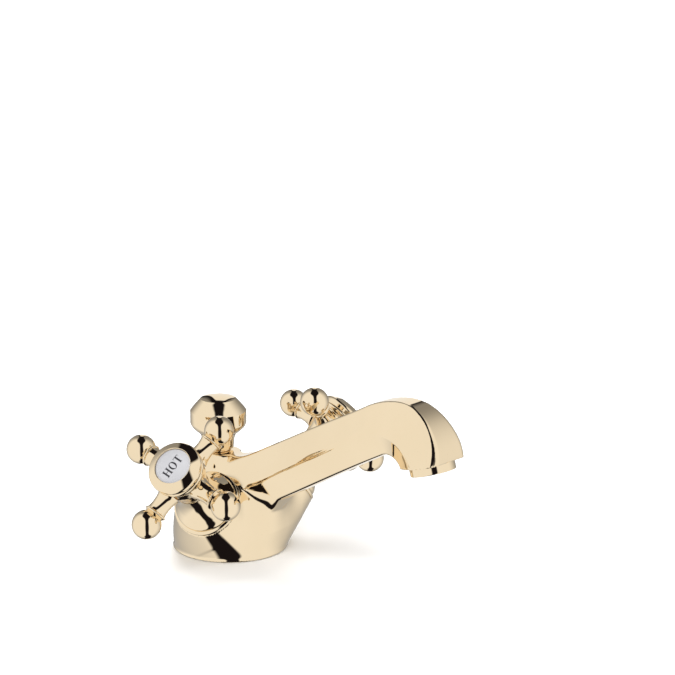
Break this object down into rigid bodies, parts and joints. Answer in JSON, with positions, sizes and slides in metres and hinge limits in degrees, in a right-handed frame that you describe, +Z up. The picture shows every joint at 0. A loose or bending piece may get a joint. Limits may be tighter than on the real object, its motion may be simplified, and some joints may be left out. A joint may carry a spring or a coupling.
{
  "type": "bathroom mixer faucet",
  "caption": "Deck-mounted basin mixer: fixed faceted spout with aerator, angled hot and cold cross handles with porcelain index discs, and a pop-up lift knob behind the spout",
  "frame": {"origin": "centre of the round foot, on the deck plane", "axes": "+Z up, spout toward -Y, hot handle toward -X, mirror plane X=0"},
  "size_m": [0.1606, 0.1704, 0.0977],
  "materials": {
    "polished_gold": "polished",
    "raw_brass": "satin",
    "steel": "satin",
    "porcelain": "gloss",
    "ceramic": "satin",
    "rubber": "matte",
    "plastic": "matte"
  },
  "bodies": {
    "root": {"body": "polished_gold", "base_gasket": "rubber", "aerator_housing": "polished_gold", "aerator_insert": "plastic", "aerator_gasket": "rubber", "lift_rod_bush": "polished_gold", "lift_rod_seal": "rubber", "hot_seat_ring": "polished_gold", "hot_shroud": "polished_gold", "hot_valve_body": "raw_brass", "hot_fixed_disc": "ceramic", "hot_valve_seal": "rubber", "cold_seat_ring": "polished_gold", "cold_shroud": "polished_gold", "cold_valve_body": "raw_brass", "cold_fixed_disc": "ceramic", "cold_valve_seal": "rubber"},
    "hot_handle": {"hot_hub": "polished_gold", "hot_arm_1": "polished_gold", "hot_arm_2": "polished_gold", "hot_arm_3": "polished_gold", "hot_arm_4": "polished_gold", "hot_cap": "polished_gold", "hot_index_disc": "porcelain", "hot_spindle": "raw_brass", "hot_turning_disc": "ceramic", "hot_spindle_seal": "rubber", "hot_circlip": "steel", "hot_handle_screw": "steel"},
    "cold_handle": {"cold_hub": "polished_gold", "cold_arm_1": "polished_gold", "cold_arm_2": "polished_gold", "cold_arm_3": "polished_gold", "cold_arm_4": "polished_gold", "cold_cap": "polished_gold", "cold_index_disc": "porcelain", "cold_spindle": "raw_brass", "cold_turning_disc": "ceramic", "cold_spindle_seal": "rubber", "cold_circlip": "steel", "cold_handle_screw": "steel"},
    "lift": {"lift_knob": "polished_gold", "lift_rod": "raw_brass"}
  },
  "joints": [
    {"name": "hot_handle_turn", "type": "hinge", "parent": "root", "child": "hot_handle", "pos_m": [-0.02894, -0.01213, 0.03099], "axis": [-0.7364, -0.245, 0.6307], "range_deg": [0, 90]},
    {"name": "cold_handle_turn", "type": "hinge", "parent": "root", "child": "cold_handle", "pos_m": [0.02894, -0.01213, 0.03099], "axis": [-0.7364, 0.245, -0.6307], "range_deg": [0, 90]},
    {"name": "lift_rod_slide", "type": "slide", "parent": "root", "child": "lift", "axis": [0, 0, 1], "range_m": [0, 0.012]}
  ]
}
